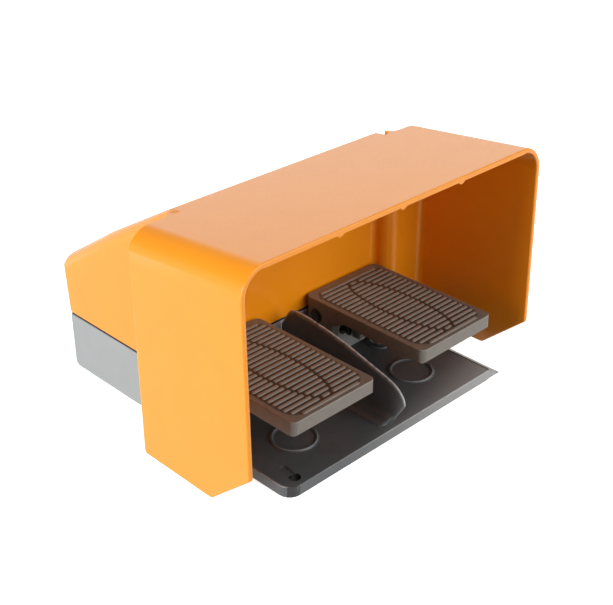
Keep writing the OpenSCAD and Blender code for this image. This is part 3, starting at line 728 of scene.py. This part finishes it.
@dataclass
class Treadle:
    """One pedal casting with its ribs, worn with a painted highlight on their crests and painted
    shade between them, and the coil spring under it.
    """

    finishes: Finishes
    side: Side
    edge: float = 0.9
    # Only the tread's upper rim is rounded; the skirt below keeps its own edges.
    skirt_low: tuple[float, float, float] = (-200.0, -200.0, -10.0)
    skirt_high: tuple[float, float, float] = (200.0, 200.0, 58.0)
    tread_top: float = 60.5
    # How far under the top the casting is cut, and its new top stays, mm.
    cap_depth: float = 1.4
    cap_gap: float = 0.02
    tread_mid: float = 63.6
    front_y: float = -129.4
    rib_first: float = 5.75
    rib_pitch: float = 5.04
    rib_count: int = 22
    rib_half: float = 1.6
    rib_height: float = 1.05
    rib_sunk: float = 0.05
    # Share of wear and painted highlight on the ribs' crests.
    crest_wear_and_highlight: float = 0.6
    field_half: float = 34.5
    field_front: float = 4.2
    field_rear: float = 113.6
    front_corner: float = 14.0
    rear_corner: float = 9.0
    lens_mid: float = 58.6
    lens_outer: tuple[float, float] = (15.9, 51.4)
    lens_inner: tuple[float, float] = (15.0, 49.4)
    coil_x: float = 76.0
    coil_y: float = -41.4
    coil_foot: float = 10.02
    coil_height: float = 46.4
    coil_radius: float = 6.6
    wire_radius: float = 0.9
    turns: float = 7.0
    turn_steps: int = 40
    # Part of a turn that lies closed at each end, and its rise as a share of the wire.
    closed_turn: float = 0.9
    closed_share: float = 0.98
    # Share of its length that the coil keeps under a pressed pedal.
    pressed_share: float = 0.905

    def rib_spans(self) -> np.ndarray:
        """Work out where each rib starts and ends.

        A row at depth y reaches as far as the field's half width, less the round corners:
        half - r + sqrt(r^2 - d^2), d being the depth past the corner's centre. The row is
        broken between two lenses, whose half widths are a * sqrt(1 - ((y - mid) / b)^2).

        Returns:
            Array of rows (depth, x from, x to) in mm, for the right pedal round its middle.
        """
        depth = self.rib_first + self.rib_pitch * np.arange(self.rib_count)
        reach = np.full(depth.shape, self.field_half)
        for radius, past in ((self.front_corner, self.field_front + self.front_corner - depth),
                             (self.rear_corner, depth - self.field_rear + self.rear_corner)):
            bend = self.field_half - radius + np.sqrt(np.clip(radius ** 2 - past ** 2, 0.0, None))
            reach = np.where(past > 0.0, np.minimum(reach, bend), reach)
        widths = [a * np.sqrt(np.clip(1.0 - ((depth - self.lens_mid) / b) ** 2, 0.0, None))
                  for a, b in (self.lens_outer, self.lens_inner)]
        outer, inner = widths
        whole = np.stack([depth, -reach, reach], -1)[outer <= 0.0]
        left = np.stack([depth, -reach, -outer], -1)[outer > 0.0]
        right = np.stack([depth, outer, reach], -1)[outer > 0.0]
        middle = np.stack([depth, -inner, inner], -1)[inner > self.rib_half]
        return np.concatenate([whole, left, right, middle])

    def rib_mesh(self) -> bpy.types.Mesh:
        """Make the field of ribs as half-sunk bars with round ends.

        Along a rib x runs from end to end. The section at x is an ellipse of half width w
        and height h, both times sqrt(1 - e^2), where e is how far x is past the start of
        the round end, over the end's length w.

        Returns:
            The ribs' mesh, in place, with wear and a painted highlight high on their crests.
        """
        spans = self.rib_spans()
        half = (spans[:, 2] - spans[:, 1]) / 2.0
        end = np.array([0.02, 0.2, 0.5, 0.8, 1.0])
        past = np.concatenate([1.0 - end, [0.0], 1.0 - end[::-1]])
        sign = np.repeat([-1.0, 0.0, 1.0], [len(end), 1, len(end)])
        straight = half[:, None] - self.rib_half
        reach = straight + self.rib_half * past[None, :]
        along = (spans[:, 1] + half)[:, None] + sign[None, :] * reach
        size = np.sqrt(np.clip(1.0 - past ** 2, 1e-4, None))
        turn = np.linspace(0.0, FULL_TURN, 14, endpoint=False)
        across = size[:, None] * self.rib_half * np.cos(turn)[None, :]
        up = size[:, None] * self.rib_height * np.sin(turn)[None, :]
        flat = np.zeros((len(spans), 1, 1))
        points = np.stack([
            (self.side.value * (self.tread_mid + along))[:, :, None] + 0.0 * across[None],
            self.front_y + spans[:, 0][:, None, None] + across[None] + flat,
            self.tread_top - self.rib_sunk + up[None] + flat], -1)
        if self.side is Side.RIGHT:
            points = points[:, :, ::-1]
        mesh = grid_mesh("tread_ribs_" + self.side.word, points * MM, False, True, caps=True)
        crest = np.clip((points[..., 2] - self.tread_top) / self.rib_height, 0.0, 1.0)
        store(mesh, "rub", crest ** 2 * self.crest_wear_and_highlight)
        return mesh

    def field_mesh(self) -> bpy.types.Mesh:
        """Lay the ground between the ribs, dark with painted shade, a hair over the tread.

        The outline is a rectangle whose corners are quarter circles; the rings inside it
        are the outline drawn towards the middle, and the outermost one dips into the tread.

        Returns:
            The ground's mesh, with the attribute "grime" fading at its rim.
        """
        turn = np.linspace(0.0, math.pi / 2.0, 9)
        wide, rear, front = self.field_half + 1.2, self.field_rear + 1.0, self.field_front - 1.0
        r_rear, r_front = self.rear_corner, self.front_corner
        corners = [(wide - r_rear, rear - r_rear, r_rear, 0.0),
                   (r_rear - wide, rear - r_rear, r_rear, math.pi / 2.0),
                   (r_front - wide, front + r_front, r_front, math.pi),
                   (wide - r_front, front + r_front, r_front, 1.5 * math.pi)]
        outline = np.concatenate([np.stack([x + r * np.cos(a + turn), y + r * np.sin(a + turn)], -1)
                                  for x, y, r, a in corners])
        share = np.array([0.02, 0.35, 0.65, 0.85, 0.95, 0.985, 1.0])[:, None]
        middle = np.array([0.0, (rear + front) / 2.0])
        x = middle[0] + (outline[:, 0] - middle[0])[None, :] * share
        y = middle[1] + (outline[:, 1] - middle[1])[None, :] * share
        dip = np.array([0.03, 0.03, 0.03, 0.03, 0.03, 0.02, -0.06])[:, None] + 0.0 * x
        points = np.stack([self.side.value * self.tread_mid + x, self.front_y + y,
                           self.tread_top + dip], -1)
        mesh = grid_mesh("tread_field_" + self.side.word, points[::-1] * MM, False, True, caps=True)
        # Painted shade, strongest in the middle and gone at the rim.
        painted_shade = np.array([0.8, 0.8, 0.8, 0.8, 0.75, 0.5, 0.0])[::-1, None] + 0.0 * x
        store(mesh, "painted_shade", painted_shade)
        return mesh

    def coil_mesh(self) -> bpy.types.Mesh:
        """Sweep the spring's wire round its axis.

        The wire's centre is (R cos a, R sin a, z(a)); z rises evenly between one closed
        turn at each end, which lies flat. Round it runs a circle of the wire's radius in
        the plane of the axis and the radius.

        Returns:
            The spring's mesh, in place.
        """
        steps = int(self.turns * self.turn_steps)
        share = np.linspace(0.0, 1.0, steps + 1)[:, None]
        angle = FULL_TURN * self.turns * share
        dead = self.closed_turn / self.turns
        rise = np.clip((share - dead) / (1.0 - 2.0 * dead), 0.0, 1.0)
        low, high = self.wire_radius, self.coil_height - self.wire_radius
        closed = 2.0 * self.wire_radius * self.closed_share
        level = low + closed * np.clip(share / dead, 0, 1) + (high - low - 2.0 * closed) * rise \
            + closed * np.clip((share - 1.0 + dead) / dead, 0, 1)
        around = np.linspace(0.0, FULL_TURN, 12, endpoint=False)[None, :]
        reach = self.coil_radius + self.wire_radius * np.cos(around)
        points = np.stack([self.side.value * self.coil_x + reach * np.cos(angle),
                           self.coil_y + reach * np.sin(angle),
                           self.coil_foot + level + self.wire_radius * np.sin(around)], -1)
        return grid_mesh("return_coil_" + self.side.word, points * MM, False, True, caps=True)

    def build(self) -> None:
        """Make the pedal and its spring."""
        word = self.side.word
        body = f"pedal_{word}_body"
        rounded_piece("pedal_" + word, body, "pedal_casting", self.finishes,
                      Rounding(self.edge, spare=((self.skirt_low, self.skirt_high),),
                               cut_above=self.tread_top - self.cap_depth,
                               raised_to=self.tread_top - self.cap_gap))
        add_piece("tread_ribs_" + word, self.rib_mesh(), body, "pedal_casting", self.finishes)
        add_piece("tread_field_" + word, self.field_mesh(), body, "pedal_casting", self.finishes)
        coil = add_piece("return_coil_" + word, self.coil_mesh(), "base", "steel_bright",
                         self.finishes)
        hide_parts("return_spring_" + word)
        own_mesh(coil)


@dataclass
class Fittings:
    """The small CAD nodes that keep their shape and only need their finish."""

    finishes: Finishes

    def build(self) -> None:
        """Dress every node with the finish of its slot."""
        for part in frame["record"]["subparts"]:
            node = frame["nodes"].get(part["node"])
            if node is not None:
                self.finishes.dress(node, part["material_slot"])
        for side in Side:
            # The pivot pins' ends get a dark finish as painted shade.
            self.finishes.dress(frame["nodes"]["pivot_pin_" + side.word], "steel_painted_shade")
            # The plunger bushes get a dark finish as painted shade.
            self.finishes.dress(frame["nodes"]["plunger_bush_" + side.word], "bronze_oiled")
        LOG.info("dressed %d nodes", len(frame["nodes"]))


# ---------------------------------------------------------------- studio

@dataclass
class Studio:
    """Pale floor, soft lights and the camera."""

    camera_at: tuple[float, float, float] = (-0.5304, -0.5761, 0.4925)
    camera_turn: tuple[float, float, float] = (61.03, 0.04, -44.49)
    lens: float = 68.92
    sensor: float = 36.0
    sky_strength: float = 0.3
    # What the lamps point at.
    aim: tuple[float, float, float] = (0.0, 0.0, 0.08)
    # Floor: radius of the flat, radius of the rise, how far under the switch (m), and its glow.
    floor_flat: float = 2.5
    floor_rise: float = 1.2
    floor_gap: float = 0.0002
    floor_glow: float = 0.8
    # Half sizes of the part of the floor that doesn't glow (across, front to rear), mm. The
    # switch covers it except for about 8 mm behind the housing, which show as a grey strip.
    covered: tuple[float, float] = (100.0, 120.0)
    lights: Sequence[tuple[str, tuple[float, float, float], float, float]] = field(
        default_factory=lambda: [
            ("left_softbox", (-2.1, 0.25, 0.6), 1.0, 52.0),
            ("rear_softbox", (1.6, 1.6, 1.5), 1.8, 13.0),
            ("front_softbox", (0.6, -1.7, 0.85), 1.6, 31.0),
        ])

    def floor(self) -> None:
        """Lay a wide dish: flat within 2.5 m, then rising as a quarter circle.

        The paper glows faintly, except in a rectangle under the switch, so that the holes in
        the plate stay dark.
        """
        climb = np.linspace(0.1, math.pi / 2, 12)
        radius = np.concatenate([np.array([0.0001]), np.linspace(0.4, self.floor_flat, 8),
                                 self.floor_flat + self.floor_rise * np.sin(climb)])[:, None]
        height = np.concatenate([np.zeros(9), self.floor_rise - self.floor_rise * np.cos(climb)])
        height = height[:, None] - self.floor_gap
        turn = np.linspace(0.0, FULL_TURN, 96, endpoint=False)[None, :]
        points = np.stack([radius * np.cos(turn), radius * np.sin(turn), height + 0.0 * turn], -1)
        dish = bpy.data.objects.new("floor", grid_mesh("floor", points, False, True))
        bpy.context.scene.collection.objects.link(dish)
        paper = bpy.data.materials.new("seamless_paper")
        paper.use_nodes = True
        shader = paper.node_tree.nodes["Principled BSDF"]
        shader.inputs["Base Color"].default_value = linear("F4F4F4")
        shader.inputs["Roughness"].default_value = 0.9
        shader.inputs["Emission Color"].default_value = linear("FFFFFF")
        tree = paper.node_tree
        place = add_node(tree, "TexCoord")
        axes = add_node(tree, "SeparateXYZ", {"Vector": place.outputs["Object"]})
        past = []
        for axis, reach in zip("XY", self.covered):
            off = add_node(tree, "Math", {0: axes.outputs[axis]}, operation="ABSOLUTE")
            past.append(add_node(tree, "Math", {0: off.outputs[0]}, {1: reach * MM},
                                 operation="GREATER_THAN"))
        open_floor = add_node(tree, "Math", {0: past[0].outputs[0], 1: past[1].outputs[0]},
                              operation="MAXIMUM")
        glow = add_node(tree, "Math", {0: open_floor.outputs[0]}, {1: self.floor_glow},
                        operation="MULTIPLY")
        tree.links.new(glow.outputs[0], shader.inputs["Emission Strength"])
        dish.data.materials.append(paper)
        dish.visible_diffuse = False

    def lamps(self) -> None:
        """Hang the soft boxes, each turned to the switch."""
        for name, place, size, power in self.lights:
            lamp = bpy.data.lights.new(name, "AREA")
            lamp.size, lamp.energy = size, power
            holder = bpy.data.objects.new(name, lamp)
            holder.location = place
            away = np.array(place) - np.array(self.aim)
            level = math.hypot(away[0], away[1])
            holder.rotation_euler = (math.atan2(level, away[2]), 0.0, math.atan2(away[0], -away[1]))
            bpy.context.scene.collection.objects.link(holder)

    def sky(self) -> None:
        """Give the room an even pale light."""
        world = bpy.data.worlds.new("studio_air")
        world.use_nodes = True
        air = world.node_tree.nodes["Background"]
        air.inputs["Color"].default_value = linear("FFFFFF")
        air.inputs["Strength"].default_value = self.sky_strength
        bpy.context.scene.world = world

    def camera(self) -> None:
        """Place the camera and set the tone curve."""
        lens = bpy.data.cameras.new("camera")
        lens.lens, lens.sensor_width = self.lens, self.sensor
        holder = bpy.data.objects.new("camera", lens)
        holder.location = self.camera_at
        holder.rotation_euler = tuple(math.radians(a) for a in self.camera_turn)
        bpy.context.scene.collection.objects.link(holder)
        bpy.context.scene.camera = holder
        bpy.context.scene.view_settings.view_transform = "Standard"

    def build(self) -> None:
        """Set up the whole studio."""
        self.floor()
        self.lamps()
        self.sky()
        self.camera()


def main() -> None:
    """Build the switch in order: finishes, shells, pedals, fittings, studio."""
    logging.basicConfig(level=logging.INFO, format="%(name)s: %(message)s")
    finishes = Finishes()
    Fittings(finishes).build()
    Shell(finishes).build()
    Fin(finishes).build()
    for side in Side:
        Treadle(finishes, side).build()
    Studio().build()


if __name__ == "__main__":
    main()
